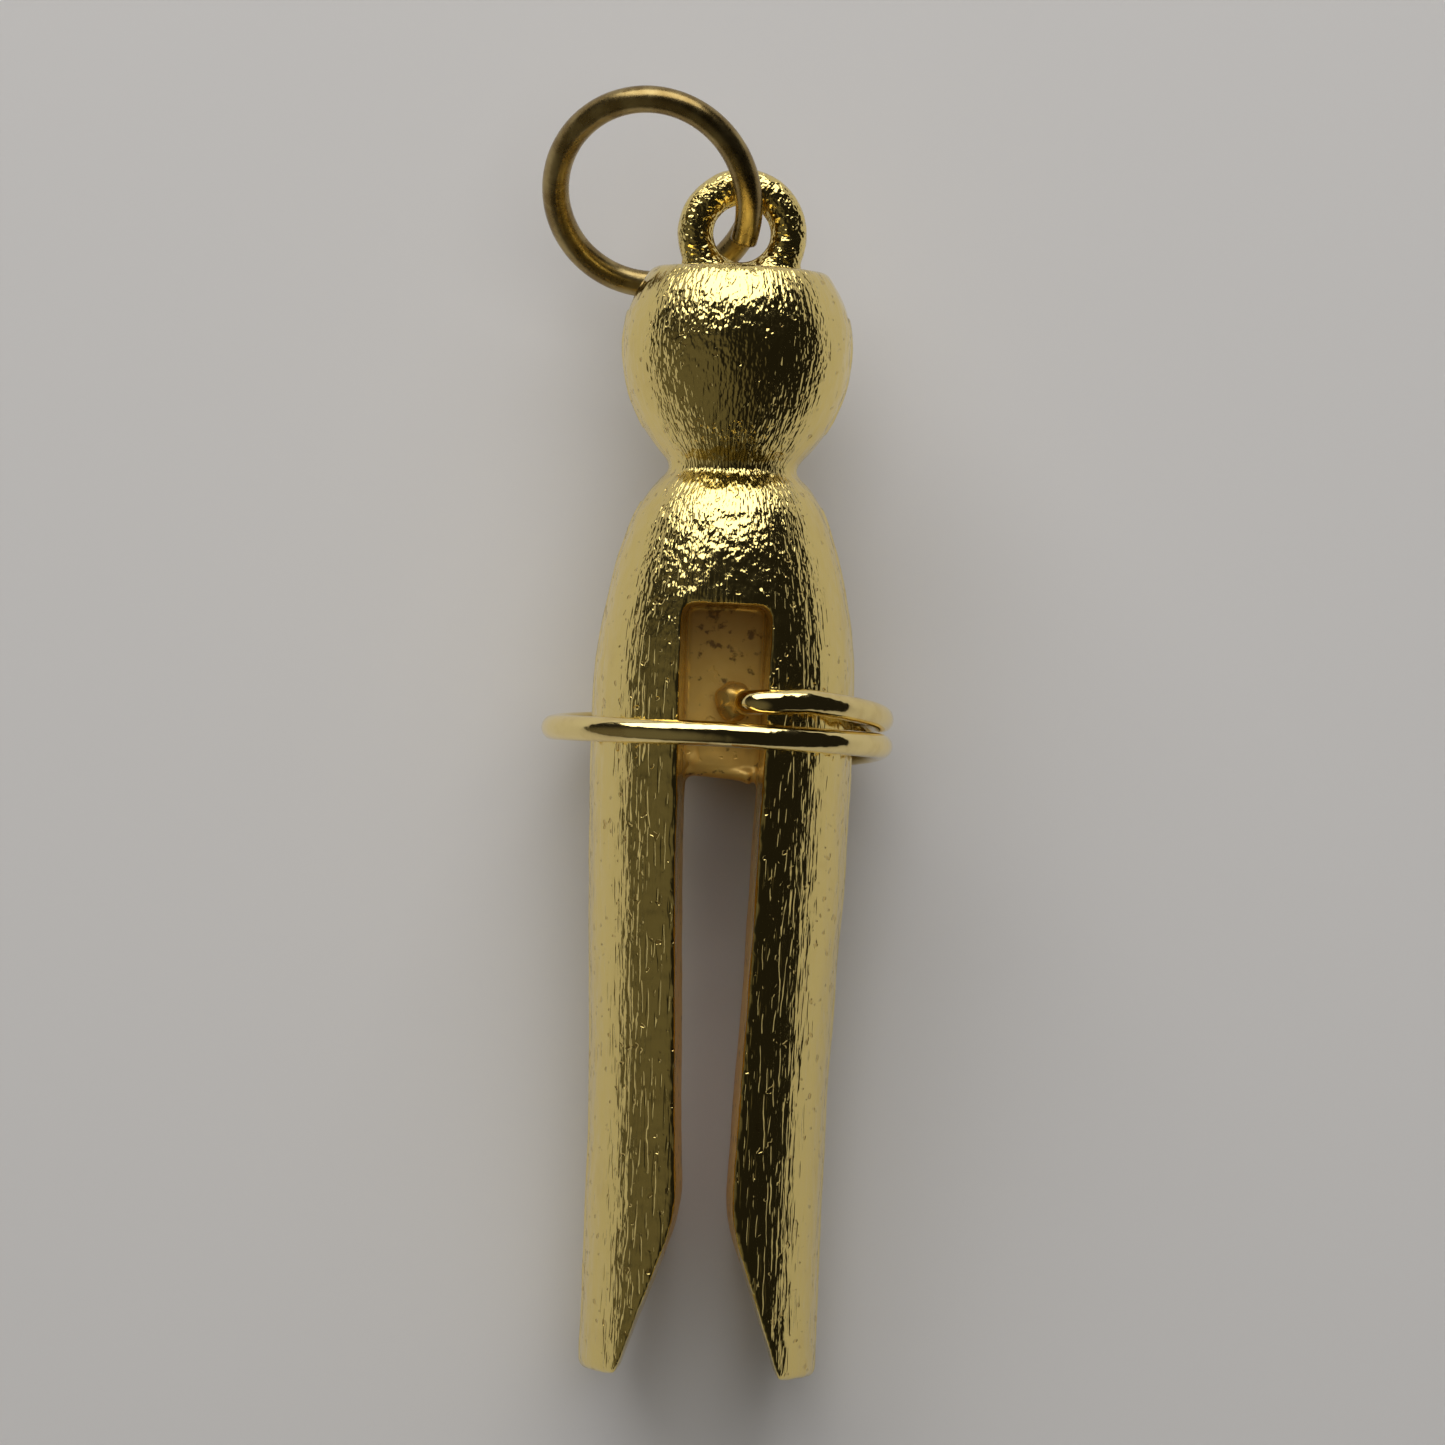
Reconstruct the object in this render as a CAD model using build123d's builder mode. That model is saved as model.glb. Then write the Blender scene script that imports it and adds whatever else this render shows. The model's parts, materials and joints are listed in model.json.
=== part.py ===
from build123d import *
from math import asin, atan2, copysign, cos, hypot, radians, sin, sqrt, tan
import os

# A gold-plated cast charm in the shape of an old-fashioned round clothespin, lying on its back.
# It has a hanging eye on its head, a turn and a half of wire round its waist and a jump ring
# through the eye. Millimetres, +Z up, +Y toward the head, origin under the middle of its box.
#
# The peg is drawn in its own frame: x across, y along the axis with 0 at the flat top of the
# head and the legs toward -y, z toward the front. "below" is a distance down from that top.

# Peg casting
peg_length = 48.6
head_top_radius = 3.8
head_radius = 5.07
head_widest_below = 4.05
head_chin_radius = 4.29
head_chin_below = 6.7
neck_radius = 2.6
neck_below = 8.85
shoulder_radius = 4.63
shoulder_below = 12.0
chest_radius = 5.44
chest_below = 15.5
waist_radius = 5.75
waist_below = 20.8
foot_radius = 5.2
foot_below = peg_length - 8.6
rim_fillet = 0.55
neck_fillet = 0.4
foot_fillet = 0.4

# Slot between the legs, at the middle of the peg's depth, and its blind pockets front and back
pocket_below = 14.9
pocket_half_width = 1.66
pocket_corner_radius = 0.5
web_end_below = 22.4
web_half_width = 1.55
web_thickness = 3.0
bevel_below = peg_length - 5.8
slot_end_below = bevel_below - 2.6
slot_end_half_width = 0.95
bevel_half_width = 1.34
mouth_half_width = 3.4
wall_draft = 3.0

# Hanging eye, cast in one with the head and set a little behind its middle
eye_ring_radius = 2.07
eye_section_radius = 0.84
eye_rise = 1.63
eye_set_back = 1.2
eye_fillet = 0.3

# Waist wire: an oval spiral that stands off the peg at the sides
wire_radius = 0.55
wire_peg_gap = 0.12
wire_side_gap = 0.9
wire_offset = -0.22
wire_elbow_radius = 1.0

# Fullness of the spiral's hidden back, on which the charm lies: 2 is a plain oval, more is flatter
wire_back_fullness = 2.8

wire_steps = 68

# Where the spiral runs: degrees round the peg from the front toward +x, distance below the top
wire_stations = [
    (32, 18.95),
    (90, 19.6),
    (180, 20.1),
    (270, 20.5),
    (360, 20.5),
    (450, 20.78),
    (508, 21.3),
]
back_turn_below = 20.1
root_across = 1.0
root_rise = 0.15

# Solder beads round the wire's roots
solder_radius = 0.95
solder_height = 1.2
solder_across = 0.5

# Jump ring: one turn of wire, oval and sprung a little open, tilted as it lies in the eye
ring_radius = 4.45
ring_oval = 1.15
ring_wire_radius = 0.6
ring_rise = 2.4
ring_gap = 8.0
ring_gap_turn = -7.0
ring_tilt = 35.0
ring_tilt_toward = 256.0
ring_centre = Vector(-3.98, 3.24, -1.55)
ring_steps = 20

# The charm rests on the wire behind its waist and on the back edges of its legs.
wire_depth = waist_radius + wire_peg_gap + wire_radius
leg_back_gap = bevel_half_width + foot_radius * tan(radians(wall_draft))
leg_back_depth = sqrt(foot_radius**2 - leg_back_gap**2)
rest_reach = bevel_below - back_turn_below
rest_drop = wire_depth - leg_back_depth
incline = atan2(rest_drop, rest_reach) + asin(wire_radius / hypot(rest_reach, rest_drop))
top_height = back_turn_below * sin(incline) + wire_depth * cos(incline) + wire_radius

# The ring's own directions: square to its plane, level across it and up its slope
ring_normal = Vector(
    sin(radians(ring_tilt)) * cos(radians(ring_tilt_toward)),
    sin(radians(ring_tilt)) * sin(radians(ring_tilt_toward)),
    cos(radians(ring_tilt)),
)
ring_across = Vector(0, 0, 1).cross(ring_normal).normalized()
ring_up_slope = ring_normal.cross(ring_across)


def ring_point(turn):
    """A point of the jump ring's centre line, in the peg's frame, a turn past its gap."""
    angle = radians(turn + ring_gap_turn)
    flat = ring_across * (ring_radius * cos(angle))
    flat += ring_up_slope * (ring_radius * ring_oval * sin(angle))
    return ring_centre + flat + ring_normal * (ring_rise * (0.5 - turn / 360.0))


def wire_point(turn):
    """A point of the waist wire's centre line, in the peg's frame, a turn round the peg."""
    ends = zip(wire_stations, wire_stations[1:])
    start, end = next(pair for pair in ends if turn <= pair[1][0])
    share = (turn - start[0]) / (end[0] - start[0])
    below = start[1] + share * (end[1] - start[1])
    half_width = waist_radius + wire_side_gap + wire_radius
    sideways = sin(radians(turn))
    forward = cos(radians(turn))
    if forward < 0:
        sideways = copysign(abs(sideways) ** (2 / wire_back_fullness), sideways)
        forward = -(abs(forward) ** (2 / wire_back_fullness))
    return Vector(wire_offset + half_width * sideways, -below, wire_depth * forward)


def bend_radii(points):
    """Bend radii at a bent wire's inner points, as large as the runs beside them allow."""
    radii = []
    for before, here, after in zip(points, points[1:], points[2:]):
        first_run = here - before
        second_run = after - here
        half_turn = radians(first_run.get_angle(second_run) / 2)
        radii.append(0.45 * min(first_run.length, second_run.length) / tan(half_turn))
    return radii


# The middle of the charm's box, from the ring at its upper left and the wire and feet opposite
ring_line = [ring_point(turn) for turn in range(round(ring_gap / 2), 360, 4)]
box_left = min(point.X for point in ring_line) - ring_wire_radius
box_right = wire_offset + waist_radius + wire_side_gap + 2 * wire_radius
box_top = max(point.Y * cos(incline) - point.Z * sin(incline) for point in ring_line)
box_top += ring_wire_radius
foot_front = sqrt((foot_radius - foot_fillet) ** 2 - mouth_half_width**2)
box_bottom = -peg_length * cos(incline) - foot_front * sin(incline)

peg_frame = Plane(
    origin=(-(box_left + box_right) / 2, -(box_top + box_bottom) / 2, top_height),
    x_dir=(1, 0, 0),
    z_dir=(0, -sin(incline), cos(incline)),
)
peg_axis = Axis(peg_frame.origin, peg_frame.y_dir)

# ---- Slot cutter: the slot and both pockets, widening outward, without the web ----
with BuildPart() as slot_cutter:
    for side in (1, -1):
        for depth in (0, head_radius + 2):
            widening = depth * tan(radians(wall_draft))
            with BuildSketch(peg_frame.offset(side * depth)) as outline:
                with BuildLine():
                    wall_top = (pocket_half_width + widening, -pocket_below)
                    slot_end = (slot_end_half_width + widening, -slot_end_below)
                    bevel_top = (bevel_half_width + widening, -bevel_below)
                    mouth = (mouth_half_width + widening, -peg_length)
                    beyond = (mouth_half_width + widening, -peg_length - 1)
                    wall = Spline(wall_top, (web_half_width + widening, -web_end_below), slot_end)
                    bevel = Line(bevel_top, mouth)
                    Spline(slot_end, bevel_top, tangents=(wall % 1, bevel % 0))
                    Polyline(mouth, beyond, (0, -peg_length - 1), (0, -pocket_below), wall_top)
                make_face()
                mirror(about=Plane.YZ)
                corners = outline.vertices().filter_by(lambda corner: abs(corner.X) > web_half_width)
                fillet(corners.sort_by(Axis.Y)[-2:], radius=pocket_corner_radius)
        loft(ruled=True)
    with BuildSketch(peg_frame.offset(-web_thickness / 2)):
        with Locations((0, -web_end_below)):
            Rectangle(2 * head_radius, peg_length, align=(Align.CENTER, Align.MIN))
    extrude(amount=web_thickness, mode=Mode.SUBTRACT)

# ---- Peg casting: turned body with rounded rims, slot and pockets, hanging eye ----
with BuildPart() as peg_casting:
    with BuildSketch(peg_frame):
        with BuildLine():
            rim = (head_top_radius, 0)
            neck = (neck_radius, -neck_below)
            waist = (waist_radius, -waist_below)
            foot = (foot_radius, -foot_below)
            Spline(
                rim,
                (head_radius, -head_widest_below),
                (head_chin_radius, -head_chin_below),
                neck,
            )
            Spline(
                neck,
                (shoulder_radius, -shoulder_below),
                (chest_radius, -chest_below),
                waist,
                tangents=((1, -0.62), (0, -1)),
            )
            Spline(waist, foot, tangents=((0, -1), (0, -1)))
            Polyline(foot, (foot_radius, -peg_length), (0, -peg_length), (0, 0), rim)
        make_face()
    revolve(axis=peg_axis)
    rings = peg_casting.edges().filter_by(GeomType.CIRCLE)
    foot_rim = rings.sort_by(peg_axis)[0]
    neck_ring = rings.sort_by(SortBy.RADIUS)[0]
    head_rim = rings.sort_by(peg_axis)[-1]
    fillet(head_rim, radius=rim_fillet)
    fillet(neck_ring, radius=neck_fillet)
    fillet(foot_rim, radius=foot_fillet)
    add(slot_cutter.part, mode=Mode.SUBTRACT)
    eye_centre = peg_frame.from_local_coords((0, eye_rise, -eye_set_back))
    eye_plane = Plane(origin=eye_centre, x_dir=peg_frame.x_dir, z_dir=-peg_frame.y_dir)
    with BuildSketch(eye_plane):
        with Locations((eye_ring_radius, 0)):
            Circle(eye_section_radius)
    revolve(axis=Axis(eye_centre, peg_frame.z_dir))
    eye_feet = peg_casting.edges(Select.LAST).filter_by(GeomType.CIRCLE, reverse=True)
    fillet(eye_feet, radius=eye_fillet)

# ---- Waist wire: root in the front pocket, a turn and a half round, end in the back pocket ----
first_turn, last_turn = wire_stations[0][0], wire_stations[-1][0]
turn_step = (last_turn - first_turn) / wire_steps
spiral = [wire_point(first_turn + step * turn_step) for step in range(wire_steps + 1)]
wire_points = [
    Vector(root_across, spiral[0].Y - root_rise, web_thickness / 2),
    Vector(root_across, spiral[0].Y - root_rise, wire_depth),
    *spiral,
    Vector(root_across, spiral[-1].Y - root_rise, -wire_depth),
    Vector(root_across, spiral[-1].Y - root_rise, -web_thickness / 2),
]
wire_radii = bend_radii(wire_points)
wire_radii[0] = wire_elbow_radius
wire_radii[-1] = wire_elbow_radius
with BuildLine(peg_frame) as waist_path:
    FilletPolyline(*[tuple(point) for point in wire_points], radius=wire_radii)
with BuildPart() as waist_wire:
    path = waist_path.wire()
    with BuildSketch(Plane(origin=path @ 0, z_dir=path % 0)):
        Circle(wire_radius)
    sweep(path=path)


def solder_dome(root):
    """A low dome on a pocket's floor, half round the wire that stands in it."""
    outward = 1 if root.Z > 0 else -1
    base = peg_frame.from_local_coords((solder_across, root.Y, root.Z))
    dome_plane = Plane(origin=base, x_dir=peg_frame.x_dir, z_dir=peg_frame.y_dir * -outward)
    with BuildPart() as dome:
        with BuildSketch(dome_plane):
            with BuildLine():
                side, crown = (solder_radius, 0), (0, solder_height)
                Spline(side, crown, tangents=((0, 1), (-1, 0)))
                Polyline(side, (0, 0), crown)
            make_face()
        revolve(axis=Axis(base, peg_frame.z_dir))
        add(waist_wire.part, mode=Mode.SUBTRACT)
    return dome


# ---- Solder beads: one in each pocket, round the wire's roots ----
front_solder = solder_dome(wire_points[0])
back_solder = solder_dome(wire_points[-1])

# ---- Jump ring: one turn of wire through the eye ----
ring_step = (360 - ring_gap) / ring_steps
ring_points = [ring_point(ring_gap / 2 + step * ring_step) for step in range(ring_steps + 1)]
with BuildLine(peg_frame) as ring_path:
    FilletPolyline(*[tuple(point) for point in ring_points], radius=bend_radii(ring_points))
with BuildPart() as jump_ring:
    path = ring_path.wire()
    with BuildSketch(Plane(origin=path @ 0, z_dir=path % 0)):
        Circle(ring_wire_radius)
    sweep(path=path)

# ---- Write each piece ----
os.makedirs("parts", exist_ok=True)
pieces = {
    "peg_casting": peg_casting,
    "waist_wire": waist_wire,
    "front_solder": front_solder,
    "back_solder": back_solder,
    "jump_ring": jump_ring,
}
for name, piece in pieces.items():
    piece.part.label = name
    export_step(piece.part, f"parts/{name}.step")
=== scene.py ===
"""Looks of a gold clothespin charm: casting, waist wire, solder, jump ring, and a stage for it."""

import json
import math

import bpy
from mathutils import Matrix, Vector, noise


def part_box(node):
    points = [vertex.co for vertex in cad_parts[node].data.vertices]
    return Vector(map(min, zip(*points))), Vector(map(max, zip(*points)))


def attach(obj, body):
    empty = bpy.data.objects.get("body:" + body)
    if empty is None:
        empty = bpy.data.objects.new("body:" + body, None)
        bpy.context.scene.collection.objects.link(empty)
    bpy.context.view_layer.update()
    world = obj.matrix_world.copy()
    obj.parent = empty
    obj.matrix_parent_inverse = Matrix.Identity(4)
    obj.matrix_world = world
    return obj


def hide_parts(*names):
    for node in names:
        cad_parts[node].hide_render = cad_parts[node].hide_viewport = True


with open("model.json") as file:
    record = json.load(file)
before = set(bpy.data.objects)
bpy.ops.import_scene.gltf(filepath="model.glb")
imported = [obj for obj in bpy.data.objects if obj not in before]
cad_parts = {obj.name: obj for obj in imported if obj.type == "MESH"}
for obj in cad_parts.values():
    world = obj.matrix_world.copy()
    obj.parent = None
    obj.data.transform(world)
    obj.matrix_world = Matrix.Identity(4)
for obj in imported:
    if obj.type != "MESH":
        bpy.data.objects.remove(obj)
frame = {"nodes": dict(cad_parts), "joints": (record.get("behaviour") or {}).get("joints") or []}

bl_info = {
    "name": "Clothespin charm",
    "version": (1, 0, 0),
    "blender": (4, 5, 0),
    "location": "3D View > Sidebar > Charm",
    "description": "Builds the finished look of a gold clothespin charm on its packed frame",
    "category": "Object",
}

MM = 0.001
MOST_TRIANGLES = 190000
SWING = frame["joints"][0]
EYE_CENTRE = Vector(SWING["pos_m"])
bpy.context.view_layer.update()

# The peg's own directions: x across, y up the axis toward the head, z toward the front
PEG_FRONT = Vector(SWING["axis"]).normalized()
PEG_ACROSS = Vector((1, 0, 0))
PEG_UP = PEG_FRONT.cross(PEG_ACROSS)
INCLINE = math.atan2(PEG_UP.z, PEG_UP.y)

# The casting's dents, coarse to fine: how close they lie, where they start, and their share
DENTS = (
    (0.35, (0, 0, 0), 0.8),
    (0.9, (9, 2, 4), 0.45),
    (2.2, (3, 7, 1), 0.2),
)
DENT_MIDDLE = 0.5
SMOOTHING_ROUNDS = 16

# The mould's seam, in mm: its height above the peg's middle, half its width, and where it shows
SEAM_Z = 0.4
SEAM_WIDTH = 0.16
SEAM_LEAST_RADIUS = 4.0
SEAM_TOP_Y = -2

# The torn lip at the lower end of the front pocket, in mm
LIP_Y = -22.1
LIP_SLANT = 0.18
LIP_WIDTH = 0.3
LIP_REACH_X = 1.8
LIP_LOW_Z = 0.9
LIP_HIGH_Z = 2.4

# The waist wire's spiral: degrees round the peg from the front toward +x, and mm below the head
WIRE_STATIONS = (
    (32, 18.95),
    (90, 19.6),
    (180, 20.1),
    (270, 20.5),
    (360, 20.5),
    (450, 20.78),
    (508, 21.3),
)
DEGREES_A_STEP = 4
ROOT_RISE = 0.15
ELBOW_STEPS = 8
RING_STEPS = 120
WIRE_SIDES = 32
WAIST_WIRE_STEP = 0.18
RING_WIRE_STEP = 0.15

# The solder beads' lumps: how close they lie, their height and how far they sink, in mm
LUMP_CLOSENESS = 1.6
LUMP_HEIGHT = 0.1
LUMP_SINK = 0.06

# Where the casting's finish changes, from and to: in mm, or as a share of the radius for the sides
SIDES = (0.68, 0.88)
UPPER_PART_Y = (-20.0, -10.0)
EYE_Y = (0.0, 0.4)
SLOT_X = (1.9, 1.5)
POCKET_TOP_Y = (-14.6, -15.2)
POCKET_RADIUS = (5.1, 4.7)
# The span over which the pockets' painted shade grows, toward their upper end
POCKET_PAINTED_SHADE_Y = (-18.6, -15.6)

# Lengthwise marks: spot size across in mm, and how far each is squeezed along the peg
MARK_RADIUS = 5.2
STREAKS = (0.17, 0.08)
GROOVES = (0.21, 0.13)
FLECKS = (0.2, 0.6)
POCKET_PEEL_DEPTH = 0.06
PIT_DEPTH = 0.02

SPECK_BROWN = (0.09, 0.04, 0.012, 1)
WIRE_GOLD = (0.95, 0.77, 0.34, 1)
BRASS_BROWN = (0.25, 0.17, 0.06, 1)
BRASS_RUBBED = (0.46, 0.35, 0.15, 1)

# The studio, in metres: the lights' directions, distances and sizes, and the dim wall
FLOOR_SIZE = 3.0
WINDOW_DIRECTION = Vector((-0.17, 1.0, 0.6))
WINDOW_DISTANCE = 0.5
WINDOW_SIZE = (0.72, 0.42)
FILL_DIRECTION = Vector((0.1, 0.25, 1.0))
FILL_DISTANCE = 0.7
FILL_SIZE = (0.6, 0.6)
DIM_WALL = Vector((-0.75, -0.55, 0.55))
DIM_WALL_EDGE = (0.5, 0.97)
DARK_ROOM = (0.012, 0.011, 0.009, 1)


# ---- Settings ----


class CastingSettings(bpy.types.PropertyGroup):
    eye_rise: bpy.props.FloatProperty(
        name="Eye rise",
        description="Height of the eye's middle over the flat top of the head, in mm",
        default=1.63,
    )
    eye_set_back: bpy.props.FloatProperty(
        name="Eye set-back",
        description="How far the eye stands behind the middle of the head, in mm",
        default=1.2,
    )
    grain: bpy.props.FloatProperty(
        name="Mesh grain",
        description="Size of the casting's mesh faces before they are thinned, in mm",
        default=0.12,
        min=0.1,
    )
    unevenness: bpy.props.FloatProperty(
        name="Unevenness",
        description="Depth of the casting's broad dents and swells, in mm",
        default=0.05,
    )
    lip_height: bpy.props.FloatProperty(
        name="Web lip",
        description="Height of the torn flash at the lower end of the front pocket, in mm",
        default=0.3,
    )
    parting_height: bpy.props.FloatProperty(
        name="Parting line",
        description="Height of the mould's seam along both sides, in mm",
        default=0.06,
    )
    streak_depth: bpy.props.FloatProperty(
        name="Streak depth",
        description="Depth of the lengthwise brushing, in mm",
        default=0.036,
    )
    groove_depth: bpy.props.FloatProperty(
        name="Groove depth",
        description="Depth of the deeper brush lines, which show most on the legs, in mm",
        default=0.028,
    )
    peel_depth: bpy.props.FloatProperty(
        name="Orange-peel depth",
        description="Depth of the cast skin's broad small bumps, in mm",
        default=0.05,
    )
    fleck_depth: bpy.props.FloatProperty(
        name="Fleck depth",
        description="Depth of the fine lengthwise flecks on the head and shoulders, in mm",
        default=0.1,
    )
    pocket: bpy.props.FloatVectorProperty(
        name="Pocket",
        description="Colour of the dull amber floor of the pockets",
        subtype="COLOR",
        size=4,
        default=(0.80, 0.52, 0.13, 1),
    )
    gold: bpy.props.FloatVectorProperty(
        name="Gold",
        description="Colour of the gold plating",
        subtype="COLOR",
        size=4,
        default=(0.88, 0.70, 0.255, 1),
    )
    # Also the colour of the painted shade at the upper end of the pockets
    stain_and_shade: bpy.props.FloatVectorProperty(
        name="Stain",
        description="Colour of the plating where it is thin and brown",
        subtype="COLOR",
        size=4,
        default=(0.48, 0.27, 0.06, 1),
    )


class WireSettings(bpy.types.PropertyGroup):
    radius: bpy.props.FloatProperty(
        name="Radius", description="Radius of the waist wire, in mm", default=0.55
    )
    half_width: bpy.props.FloatProperty(
        name="Half width",
        description="Half the spiral's width across the peg, to the wire's middle, in mm",
        default=7.2,
    )
    half_depth: bpy.props.FloatProperty(
        name="Half depth",
        description="Half the spiral's depth front to back, to the wire's middle, in mm",
        default=6.42,
    )
    offset: bpy.props.FloatProperty(
        name="Offset", description="How far the spiral sits to one side, in mm", default=-0.22
    )
    root_across: bpy.props.FloatProperty(
        name="Root across",
        description="Where the wire's ends stand in the pockets, in mm",
        default=1.0,
    )
    floor_depth: bpy.props.FloatProperty(
        name="Pocket floor",
        description="Distance of each pocket's floor from the peg's middle, in mm",
        default=1.5,
    )
    back_fullness: bpy.props.FloatProperty(
        name="Back fullness",
        description="Flatness of the spiral's hidden back, where 2 is a plain oval",
        default=2.8,
        min=2.0,
    )
    elbow: bpy.props.FloatProperty(
        name="Elbow radius", description="Radius of the bend at each root, in mm", default=1.0
    )


class RingSettings(bpy.types.PropertyGroup):
    radius: bpy.props.FloatProperty(
        name="Radius", description="Radius of the ring's middle line, in mm", default=4.41
    )
    oval: bpy.props.FloatProperty(
        name="Oval", description="Length of the ring up its slope over its width", default=1.15
    )
    wire: bpy.props.FloatProperty(
        name="Wire radius", description="Radius of the ring's wire, in mm", default=0.6
    )
    rise: bpy.props.FloatProperty(
        name="Rise", description="How far the cut ends are sprung apart, in mm", default=2.4
    )
    gap: bpy.props.FloatProperty(
        name="Gap", description="Angle left open between the ends, in degrees", default=8.0
    )
    gap_turn: bpy.props.FloatProperty(
        name="Gap turn", description="Where the gap stands round the ring, in degrees", default=-7.0
    )
    tilt: bpy.props.FloatProperty(
        name="Tilt", description="Tilt of the ring out of the eye's plane, in degrees", default=35.0
    )
    tilt_toward: bpy.props.FloatProperty(
        name="Tilt toward", description="Direction the ring's face leans, in degrees", default=256.0
    )
    centre: bpy.props.FloatVectorProperty(
        name="Centre",
        description="The ring's middle from the top of the head, in mm",
        size=3,
        default=(-3.98, 3.24, -1.55),
    )


class StageSettings(bpy.types.PropertyGroup):
    floor_shade: bpy.props.FloatVectorProperty(
        name="Floor",
        description="Colour of the floor",
        subtype="COLOR",
        size=4,
        default=(0.72, 0.70, 0.685, 1),
    )
    window_power: bpy.props.FloatProperty(
        name="Window", description="Power of the soft window light, in W", default=2.5
    )
    fill_power: bpy.props.FloatProperty(
        name="Fill", description="Power of the overhead fill light, in W", default=1.5
    )
    wall_shade: bpy.props.FloatVectorProperty(
        name="Wall",
        description="Colour of the dim wall above the left side",
        subtype="COLOR",
        size=4,
        default=(0.11, 0.10, 0.07, 1),
    )
    camera_distance: bpy.props.FloatProperty(
        name="Camera distance", description="Camera to the peg's axis, in mm", default=300.0
    )
    frame_width: bpy.props.FloatProperty(
        name="Frame width", description="Width seen at the peg's axis, in mm", default=63.65
    )
    look_below: bpy.props.FloatProperty(
        name="Look at",
        description="Point looked at, below the top of the head, in mm",
        default=20.0,
    )
    roll: bpy.props.FloatProperty(
        name="Roll", description="Turn of the camera about its own line, in degrees", default=2.3
    )


class CharmSettings(bpy.types.PropertyGroup):
    casting: bpy.props.PointerProperty(type=CastingSettings)
    wire: bpy.props.PointerProperty(type=WireSettings)
    ring: bpy.props.PointerProperty(type=RingSettings)
    stage: bpy.props.PointerProperty(type=StageSettings)


def settings():
    return bpy.context.scene.charm


# ---- The peg's own frame ----


def head_top():
    """The middle of the head's flat top."""
    casting = settings().casting
    return EYE_CENTRE - PEG_UP * (casting.eye_rise * MM) + PEG_FRONT * (casting.eye_set_back * MM)


def peg_matrix():
    """Turns peg coordinates in mm into places in the scene."""
    columns = Matrix((PEG_ACROSS * MM, PEG_UP * MM, PEG_FRONT * MM)).transposed()
    return Matrix.Translation(head_top()) @ columns.to_4x4()


# ---- Shader maths ----


class Number:
    """A shader socket that can stand in a Python sum."""

    def __init__(self, paint, socket):
        self.paint = paint
        self.socket = socket

    def with_maths(self, operation, first, second=0.0):
        return self.paint.node("ShaderNodeMath", {"operation": operation}, {0: first, 1: second})

    def __add__(self, other):
        return self.with_maths("ADD", self, other)

    def __sub__(self, other):
        return self.with_maths("SUBTRACT", self, other)

    def __rsub__(self, other):
        return self.with_maths("SUBTRACT", other, self)

    def __mul__(self, other):
        return self.with_maths("MULTIPLY", self, other)

    def __truediv__(self, other):
        return self.with_maths("DIVIDE", self, other)

    def __pow__(self, other):
        return self.with_maths("POWER", self, other)

    def __abs__(self):
        return self.with_maths("ABSOLUTE", self)

    __radd__ = __add__
    __rmul__ = __mul__


class Nodes:
    """A node tree, and short ways to add to it."""

    def __init__(self, tree):
        self.tree = tree

    def node(self, kind, options=None, inputs=None, output=0):
        made = self.tree.nodes.new(kind)
        for name, value in (options or {}).items():
            setattr(made, name, value)
        for name, value in (inputs or {}).items():
            self.set(made.inputs[name], value)
        return Number(self, made.outputs[output])

    def set(self, socket, value):
        if isinstance(value, Number):
            self.tree.links.new(value.socket, socket)
        else:
            socket.default_value = value

    def vector(self, x, y, z):
        return self.node("ShaderNodeCombineXYZ", None, {0: x, 1: y, 2: z})

    def noise(self, vector, size, detail=2.0, roughness=0.5):
        """Cloudy noise from 0 to 1 with spots of about this size in mm."""
        return self.node(
            "ShaderNodeTexNoise",
            None,
            {
                "Vector": vector,
                "Scale": 1 / size,
                "Detail": detail,
                "Roughness": roughness,
            },
        )

    def ramp(self, value, low, high):
        """0 below low, 1 above high, smooth between."""
        return self.node(
            "ShaderNodeMapRange",
            {"interpolation_type": "SMOOTHSTEP"},
            {"Value": value, "From Min": low, "From Max": high},
        )

    def mix(self, share, first, second):
        """A colour between two others."""
        made = self.tree.nodes.new("ShaderNodeMix")
        made.data_type = "RGBA"
        self.set(made.inputs[0], share)
        self.set(made.inputs[6], first)
        self.set(made.inputs[7], second)
        return Number(self, made.outputs[2])


class Paint(Nodes):
    """A material being made, with patterns that lie in the peg's own coordinates."""

    def __init__(self, name):
        self.material = bpy.data.materials.new(name)
        self.material.use_nodes = True
        super().__init__(self.material.node_tree)
        self.shader = self.tree.nodes["Principled BSDF"]

    def finish(self, **inputs):
        for name, value in inputs.items():
            self.set(self.shader.inputs[name.replace("_", " ")], value)
        return self.material

    def peg_place(self):
        """A place on the piece in the peg's coordinates, in mm."""
        return self.node(
            "ShaderNodeMapping",
            {"vector_type": "TEXTURE"},
            {
                "Vector": self.node("ShaderNodeTexCoord", output=3),
                "Location": head_top(),
                "Rotation": (INCLINE, 0, 0),
                "Scale": (MM, MM, MM),
            },
        )

    def numbers(self, place):
        """The x, y and z of a place."""
        return [self.node("ShaderNodeSeparateXYZ", None, {0: place}, axis) for axis in range(3)]

    def bump(self, height):
        """A normal from a height in mm."""
        return self.node("ShaderNodeBump", None, {"Height": height, "Distance": MM})


# ---- Finishes ----


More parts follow.
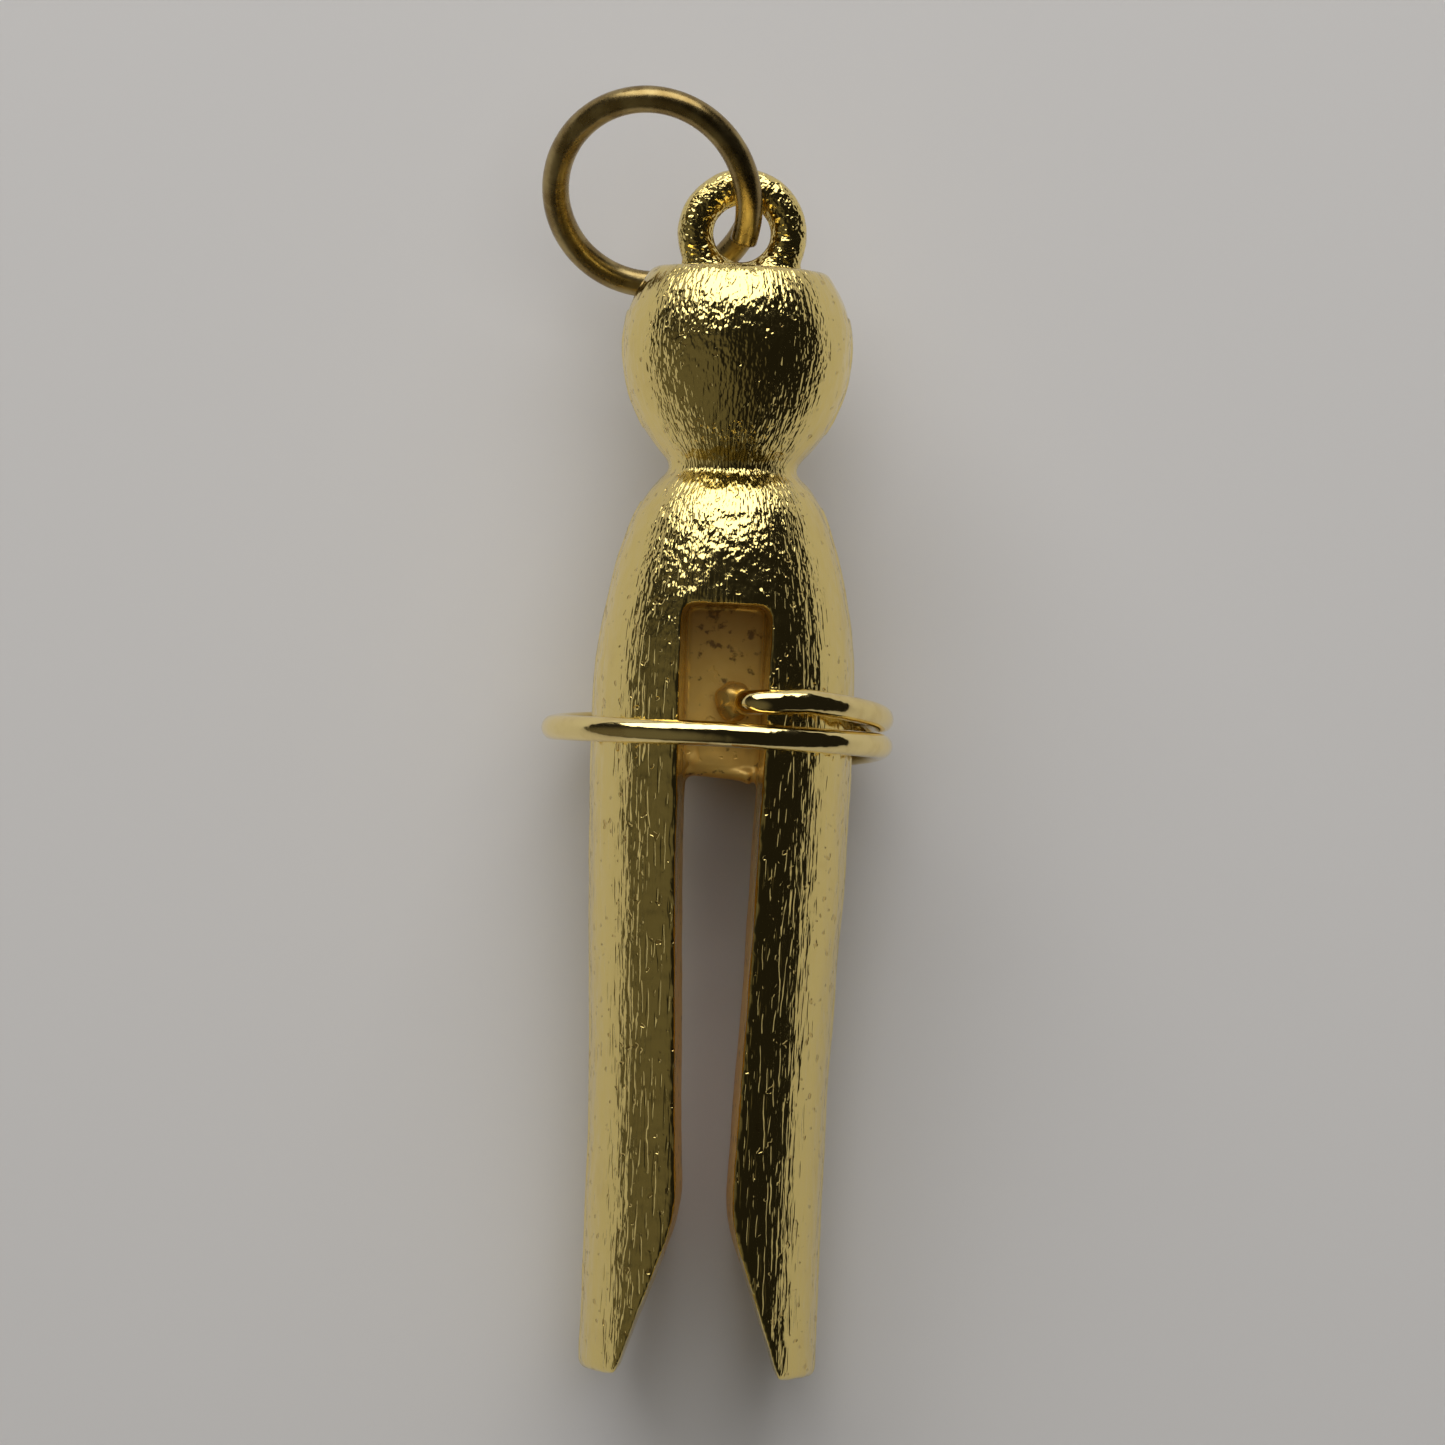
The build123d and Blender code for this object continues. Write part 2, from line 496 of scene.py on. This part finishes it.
def cast_gold():
    """Brushed gold plating over an orange-peel casting, brown in its recesses, with painted shade
    darkening the upper end of the pockets.
    """
    look = settings().casting
    paint = Paint("cast_gold")
    place = paint.peg_place()
    x, y, z = paint.numbers(place)
    radius = (x * x + z * z) ** 0.5
    round_x = x / radius * MARK_RADIUS
    round_z = z / radius * MARK_RADIUS

    def lengthwise(size, squeeze):
        """Marks drawn out along the peg."""
        return paint.noise(paint.vector(round_x, y * squeeze, round_z), size, 1.0)

    side = paint.ramp(abs(x) / radius, *SIDES)
    upper = paint.ramp(y, *UPPER_PART_Y)
    eye = paint.ramp(y, *EYE_Y)
    slot = paint.ramp(abs(x), *SLOT_X) * paint.ramp(y, *POCKET_TOP_Y)
    inside = slot * paint.ramp(radius, *POCKET_RADIUS)
    outside = 1 - inside
    streaks = lengthwise(*STREAKS)
    grooves = paint.ramp(lengthwise(*GROOVES), 0.54, 0.7)
    flecks = lengthwise(*FLECKS)
    eye_flecks = paint.noise(place, 0.24, 1.0)
    peel = paint.noise(place, 0.55, 0.0)
    spots = paint.noise(place, 1.6, 4.0, 0.6)
    patches = 0.6 + paint.ramp(paint.noise(place, 2.6, 2.0), 0.38, 0.6) * 0.4
    pits = paint.ramp(paint.noise(place, 0.42, 1.0), 0.66, 0.74)
    roughed = (0.25 + upper * 0.75) * patches * (1 - side * 0.85)
    height = streaks * (1 - side * 0.6) * look.streak_depth
    height = height - grooves * (1 - side * 0.8) * (1 - upper * 0.8) * look.groove_depth
    height = (height + flecks * roughed * look.fleck_depth) * (1 - eye)
    height = outside * (height + eye_flecks * eye * look.fleck_depth + peel * look.peel_depth)
    height = height + inside * peel * POCKET_PEEL_DEPTH - pits * PIT_DEPTH
    worn = paint.ramp(spots, 0.52, 0.75)
    # Painted shade: the pocket floors are painted darker toward their upper end, where the rim
    # shades them, with a few more dark specks there.
    painted_pocket_shade = inside * paint.ramp(y, *POCKET_PAINTED_SHADE_Y)
    specks = inside * paint.ramp(paint.noise(place, 0.62, 3.0, 0.6) + painted_pocket_shade * 0.05, 0.58, 0.68)
    amber = paint.mix(painted_pocket_shade * 0.85 + worn * 0.15, look.pocket, look.stain_and_shade)
    gold = paint.mix(pits * 0.4 + worn * 0.12, look.gold, look.stain_and_shade)
    colour = paint.mix(specks * 0.75, paint.mix(inside, gold, amber), SPECK_BROWN)
    return paint.finish(
        Base_Color=colour,
        Metallic=1 - inside * 0.65,
        Roughness=0.11 + streaks * 0.05 + inside * 0.2 + worn * 0.05,
        Normal=paint.bump(height),
    )


def gold_wire():
    """Smooth polished gold wire, a little uneven from winding."""
    look = settings().casting
    paint = Paint("gold_wire")
    place = paint.peg_place()
    waves = paint.noise(place, 0.7, 1.0)
    specks = paint.noise(place, 0.2, 1.0)
    dull = paint.ramp(paint.noise(place, 1.4, 3.0, 0.6), 0.45, 0.7)
    return paint.finish(
        Base_Color=paint.mix(dull * 0.25, WIRE_GOLD, look.stain_and_shade),
        Metallic=1.0,
        Roughness=0.07 + dull * 0.07,
        Normal=paint.bump(waves * 0.03 + specks * 0.003),
    )


def solder():
    """Amber solder, lumpy and half bright."""
    look = settings().casting
    paint = Paint("solder")
    place = paint.peg_place()
    lumps = paint.noise(place, 0.5, 1.0)
    burnt = paint.ramp(paint.noise(place, 0.7, 3.0, 0.6), 0.5, 0.75)
    return paint.finish(
        Base_Color=paint.mix(burnt * 0.5, look.pocket, look.stain_and_shade),
        Metallic=0.75,
        Roughness=0.24 + burnt * 0.15,
        Normal=paint.bump(lumps * 0.04),
    )


def old_brass():
    """Smooth brass wire gone brown, lighter where it rubs."""
    paint = Paint("old_brass")
    place = paint.peg_place()
    clouds = paint.ramp(paint.noise(place, 1.5, 4.0, 0.6), 0.35, 0.7)
    fine = paint.noise(place, 0.12, 3.0, 0.6)
    return paint.finish(
        Base_Color=paint.mix(clouds, BRASS_BROWN, BRASS_RUBBED),
        Metallic=1.0,
        Roughness=0.2 + fine * 0.12 + clouds * 0.05,
        Normal=paint.bump(fine * 0.003 + clouds * 0.004),
    )


# ---- Modelling helpers ----


def clear_selection():
    if bpy.context.object and bpy.context.object.mode != "OBJECT":
        bpy.ops.object.mode_set(mode="OBJECT")
    bpy.ops.object.select_all(action="DESELECT")


def make_active(piece):
    clear_selection()
    piece.select_set(True)
    bpy.context.view_layer.objects.active = piece


def apply_modifier(piece, kind, **options):
    make_active(piece)
    modifier = piece.modifiers.new(kind.lower(), kind)
    for name, value in options.items():
        setattr(modifier, name, value)
    bpy.ops.object.modifier_apply(modifier=modifier.name)


def finish_piece(piece, name, material, body, slot, *nodes):
    """Names the piece, gives it its finish, and hangs it on its body in place of its CAD nodes."""
    make_active(piece)
    bpy.ops.object.transform_apply(location=True, rotation=True, scale=True)
    bpy.ops.object.shade_smooth()
    piece.name = name
    piece.data.name = name
    piece.data.materials.clear()
    piece.data.materials.append(material)
    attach(piece, body)
    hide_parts(*nodes)


def read_normals(mesh):
    """Each vertex's normal, read once before the vertices move."""
    return [normal.vector.copy() for normal in mesh.vertex_normals]


def bent_wire(points, radius, step):
    """A round wire along a line of points in mm: a disc extruded into a rod, then bent."""
    to_scene = peg_matrix()
    guide_line = bpy.data.curves.new("guide", "CURVE")
    guide_line.dimensions = "3D"
    guide_line.twist_mode = "MINIMUM"
    spline = guide_line.splines.new("POLY")
    spline.points.add(len(points) - 1)
    for spot, point in zip(spline.points, points):
        spot.co = (*(to_scene @ Vector(point)), 1)
    guide = bpy.data.objects.new("guide", guide_line)
    bpy.context.scene.collection.objects.link(guide)
    length = spline.calc_length()
    count = max(8, round(length / (step * MM)))
    clear_selection()
    bpy.ops.mesh.primitive_circle_add(
        vertices=WIRE_SIDES, radius=radius * MM, fill_type="NGON", rotation=(0, math.pi / 2, 0)
    )
    wire = bpy.context.object
    bpy.ops.object.transform_apply(location=True, rotation=True, scale=True)
    bpy.ops.object.mode_set(mode="EDIT")
    bpy.ops.mesh.select_all(action="SELECT")
    for _ in range(count):
        bpy.ops.mesh.extrude_region_move(
            TRANSFORM_OT_translate={"value": (length / count, 0, 0)}
        )
    bpy.ops.mesh.select_all(action="SELECT")
    bpy.ops.mesh.normals_make_consistent(inside=False)
    bpy.ops.object.mode_set(mode="OBJECT")
    apply_modifier(wire, "CURVE", object=guide, deform_axis="POS_X")
    bpy.data.objects.remove(guide)
    return wire


# ---- Pieces ----


def wire_point(turn, below):
    """A point of the waist wire's middle line; its hidden back is a fuller oval than its front."""
    wire = settings().wire
    sideways, forward = math.sin(math.radians(turn)), math.cos(math.radians(turn))
    if forward < 0:
        sideways = math.copysign(abs(sideways) ** (2 / wire.back_fullness), sideways)
        forward = -(abs(forward) ** (2 / wire.back_fullness))
    return Vector((wire.offset + wire.half_width * sideways, -below, wire.half_depth * forward))


def bent_root(end, side):
    """From the pocket's floor straight out, then round the elbow toward the spiral's end."""
    wire = settings().wire
    root_y = end.y - ROOT_RISE
    corner = Vector((wire.root_across, root_y, side * wire.half_depth))
    inward = Vector((0, 0, -side))
    onward = (end - corner).normalized()
    half = inward.angle(onward) / 2
    centre = corner + (inward + onward).normalized() * (wire.elbow / math.sin(half))
    reach = wire.elbow / math.tan(half)
    first, last = corner + inward * reach - centre, corner + onward * reach - centre
    line = [Vector((wire.root_across, root_y, side * wire.floor_depth))]
    for step in range(ELBOW_STEPS + 1):
        line.append(centre + first.slerp(last, step / ELBOW_STEPS))
    return line


def wire_line():
    """The waist wire's middle line: root, elbow, spiral, elbow, root."""
    spiral = []
    for (turn_a, below_a), (turn_b, below_b) in zip(WIRE_STATIONS, WIRE_STATIONS[1:]):
        for step in range(round((turn_b - turn_a) / DEGREES_A_STEP)):
            turn = turn_a + DEGREES_A_STEP * step
            share = (turn - turn_a) / (turn_b - turn_a)
            spiral.append((turn, below_a + share * (below_b - below_a)))
    spiral.append(WIRE_STATIONS[-1])
    points = [wire_point(turn, below) for turn, below in spiral]
    front = bent_root(points[0], 1)
    back = bent_root(points[-1], -1)
    return front + points + back[::-1]


def ring_line():
    """The jump ring's middle line, one turn from end to end."""
    ring = settings().ring
    tilt, toward = math.radians(ring.tilt), math.radians(ring.tilt_toward)
    normal = Vector((
        math.sin(tilt) * math.cos(toward),
        math.sin(tilt) * math.sin(toward),
        math.cos(tilt),
    ))
    across = Vector((0, 0, 1)).cross(normal).normalized()
    up_slope = normal.cross(across)
    points = []
    for step in range(RING_STEPS + 1):
        turn = ring.gap / 2 + step * (360 - ring.gap) / RING_STEPS
        angle = math.radians(turn + ring.gap_turn)
        flat = across * math.cos(angle) + up_slope * (ring.oval * math.sin(angle))
        rise = ring.rise * (0.5 - turn / 360)
        points.append(Vector(ring.centre) + flat * ring.radius + normal * rise)
    return points


class CHARM_OT_casting(bpy.types.Operator):
    """Make the peg casting from its CAD shape, with a cast skin"""

    bl_idname = "charm.casting"
    bl_label = "Peg casting"

    def execute(self, context):
        look = settings().casting
        clear_selection()
        source = frame["nodes"]["peg_casting"]
        casting = source.copy()
        casting.data = source.data.copy()
        casting.parent = None
        for key in list(casting.keys()):
            if key.startswith("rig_"):
                del casting[key]
        context.scene.collection.objects.link(casting)
        make_active(casting)
        bpy.ops.object.mode_set(mode="EDIT")
        bpy.ops.mesh.select_all(action="SELECT")
        bpy.ops.mesh.remove_doubles(threshold=0.00001)
        bpy.ops.object.mode_set(mode="OBJECT")
        apply_modifier(casting, "REMESH", mode="VOXEL", voxel_size=look.grain * MM)
        apply_modifier(casting, "SMOOTH", factor=0.5, iterations=SMOOTHING_ROUNDS)
        kept = MOST_TRIANGLES / (2 * len(casting.data.polygons))
        apply_modifier(casting, "DECIMATE", ratio=min(1.0, kept))
        to_peg = peg_matrix().inverted()
        shaped = []
        for vertex, normal in zip(casting.data.vertices, read_normals(casting.data)):
            place = to_peg @ vertex.co
            dents = 0
            for closeness, start, share in DENTS:
                dents += noise.noise(place * closeness + Vector(start)) * share
            depth = look.unevenness * (dents - DENT_MIDDLE)
            if math.hypot(place.x, place.z) > SEAM_LEAST_RADIUS and place.y < SEAM_TOP_Y:
                seam = math.exp(-(((place.z - SEAM_Z) / SEAM_WIDTH) ** 2))
                depth += look.parting_height * seam
            if abs(place.x) < LIP_REACH_X and LIP_LOW_Z < place.z < LIP_HIGH_Z:
                from_lip = place.y - LIP_Y + LIP_SLANT * place.x
                lip = math.exp(-((from_lip / LIP_WIDTH) ** 2))
                depth += look.lip_height * lip * (0.7 + noise.noise(place * 1.7))
            shaped.extend(vertex.co + normal * (depth * MM))
        casting.data.vertices.foreach_set("co", shaped)
        casting.data.update()
        finish_piece(casting, "casting", cast_gold(), "peg", "cast_gold", "peg_casting")
        return {"FINISHED"}


class CHARM_OT_waist_wire(bpy.types.Operator):
    """Make the wire wound round the waist"""

    bl_idname = "charm.waist_wire"
    bl_label = "Waist wire"

    def execute(self, context):
        wire = bent_wire(wire_line(), settings().wire.radius, WAIST_WIRE_STEP)
        finish_piece(wire, "waist_winding", gold_wire(), "peg", "gold_wire", "waist_wire")
        return {"FINISHED"}


class CHARM_OT_solder(bpy.types.Operator):
    """Make the lumpy solder beads at the wire's roots"""

    bl_idname = "charm.solder"
    bl_label = "Solder beads"

    def execute(self, context):
        material = solder()
        to_peg = peg_matrix().inverted()
        for node in ("front_solder", "back_solder"):
            low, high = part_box(node)
            clear_selection()
            bpy.ops.mesh.primitive_uv_sphere_add(
                segments=48, ring_count=32, radius=1, location=(low + high) / 2
            )
            bead = context.object
            bead.scale = (high - low) * 0.5
            bpy.ops.object.transform_apply(location=True, rotation=True, scale=True)
            shaped = []
            for vertex, normal in zip(bead.data.vertices, read_normals(bead.data)):
                lump = noise.noise(to_peg @ vertex.co * LUMP_CLOSENESS)
                shaped.extend(vertex.co + normal * ((lump * LUMP_HEIGHT - LUMP_SINK) * MM))
            bead.data.vertices.foreach_set("co", shaped)
            bead.data.update()
            finish_piece(bead, node.replace("solder", "bead"), material, "peg", "solder", node)
        return {"FINISHED"}


class CHARM_OT_jump_ring(bpy.types.Operator):
    """Make the sprung jump ring through the eye"""

    bl_idname = "charm.jump_ring"
    bl_label = "Jump ring"

    def execute(self, context):
        ring = bent_wire(ring_line(), settings().ring.wire, RING_WIRE_STEP)
        finish_piece(ring, "ring", old_brass(), "ring", "old_brass", "jump_ring")
        return {"FINISHED"}


class CHARM_OT_stage(bpy.types.Operator):
    """Lay the floor, set the lights and the camera"""

    bl_idname = "charm.stage"
    bl_label = "Stage"

    def soft_light(self, name, target, direction, distance, size, power, glossy=True):
        """A rectangular light that faces a target from a direction, sizes in metres."""
        lamp = bpy.data.lights.new(name, "AREA")
        lamp.shape = "RECTANGLE"
        lamp.size, lamp.size_y = size
        lamp.energy = power
        light = bpy.data.objects.new(name, lamp)
        light.location = target + direction.normalized() * distance
        light.rotation_euler = direction.to_track_quat("Z", "Y").to_euler()
        light.visible_glossy = glossy
        bpy.context.scene.collection.objects.link(light)

    def execute(self, context):
        stage = settings().stage
        scene = context.scene
        clear_selection()
        bpy.ops.mesh.primitive_plane_add(size=FLOOR_SIZE)
        floor = context.object
        floor.name = "floor"
        paint = Paint("floor")
        floor.data.materials.append(paint.finish(Base_Color=stage.floor_shade, Roughness=0.9))

        world = bpy.data.worlds.new("studio")
        world.use_nodes = True
        sky = Nodes(world.node_tree)
        toward = sky.node("ShaderNodeTexCoord")
        facing = sky.node(
            "ShaderNodeVectorMath",
            {"operation": "DOT_PRODUCT"},
            {0: toward, 1: DIM_WALL.normalized()},
            "Value",
        )
        shade = sky.mix(sky.ramp(facing, *DIM_WALL_EDGE), DARK_ROOM, stage.wall_shade)
        sky.set(world.node_tree.nodes["Background"].inputs[0], shade)
        scene.world = world

        middle = peg_matrix() @ Vector((0, -stage.look_below, 0))
        self.soft_light(
            "window", middle, WINDOW_DIRECTION, WINDOW_DISTANCE, WINDOW_SIZE, stage.window_power
        )
        self.soft_light(
            "fill", middle, FILL_DIRECTION, FILL_DISTANCE, FILL_SIZE, stage.fill_power, glossy=False
        )

        camera_data = bpy.data.cameras.new("camera")
        camera_data.lens = camera_data.sensor_width * stage.camera_distance / stage.frame_width
        camera_data.clip_start = 0.01
        camera = bpy.data.objects.new("camera", camera_data)
        turned = Matrix.Rotation(math.radians(stage.roll), 3, "Z")
        axes = Matrix((PEG_ACROSS, PEG_UP, PEG_FRONT)).transposed() @ turned
        camera.matrix_world = (
            Matrix.Translation(middle + PEG_FRONT * (stage.camera_distance * MM)) @ axes.to_4x4()
        )
        scene.collection.objects.link(camera)
        scene.camera = camera
        scene.view_settings.view_transform = "Standard"
        return {"FINISHED"}


class CHARM_PT_panel(bpy.types.Panel):
    """Lists the charm's pieces and sizes"""

    bl_label = "Charm"
    bl_idname = "CHARM_PT_panel"
    bl_space_type = "VIEW_3D"
    bl_region_type = "UI"
    bl_category = "Charm"

    def draw(self, context):
        charm = context.scene.charm
        for operator in OPERATORS:
            self.layout.operator(operator.bl_idname)
        for group in (charm.casting, charm.wire, charm.ring, charm.stage):
            column = self.layout.column(align=True)
            # The first two are Blender's own: the type and the name
            for name in group.bl_rna.properties.keys()[2:]:
                column.prop(group, name)


OPERATORS = (
    CHARM_OT_casting,
    CHARM_OT_waist_wire,
    CHARM_OT_solder,
    CHARM_OT_jump_ring,
    CHARM_OT_stage,
)
CLASSES = (
    CastingSettings,
    WireSettings,
    RingSettings,
    StageSettings,
    CharmSettings,
    *OPERATORS,
    CHARM_PT_panel,
)


def register():
    for cls in CLASSES:
        bpy.utils.register_class(cls)
    bpy.types.Scene.charm = bpy.props.PointerProperty(type=CharmSettings)


def unregister():
    del bpy.types.Scene.charm
    for cls in reversed(CLASSES):
        bpy.utils.unregister_class(cls)


def main():
    register()
    bpy.ops.charm.casting()
    bpy.ops.charm.waist_wire()
    bpy.ops.charm.solder()
    bpy.ops.charm.jump_ring()
    bpy.ops.charm.stage()


if __name__ == "__main__":
    main()
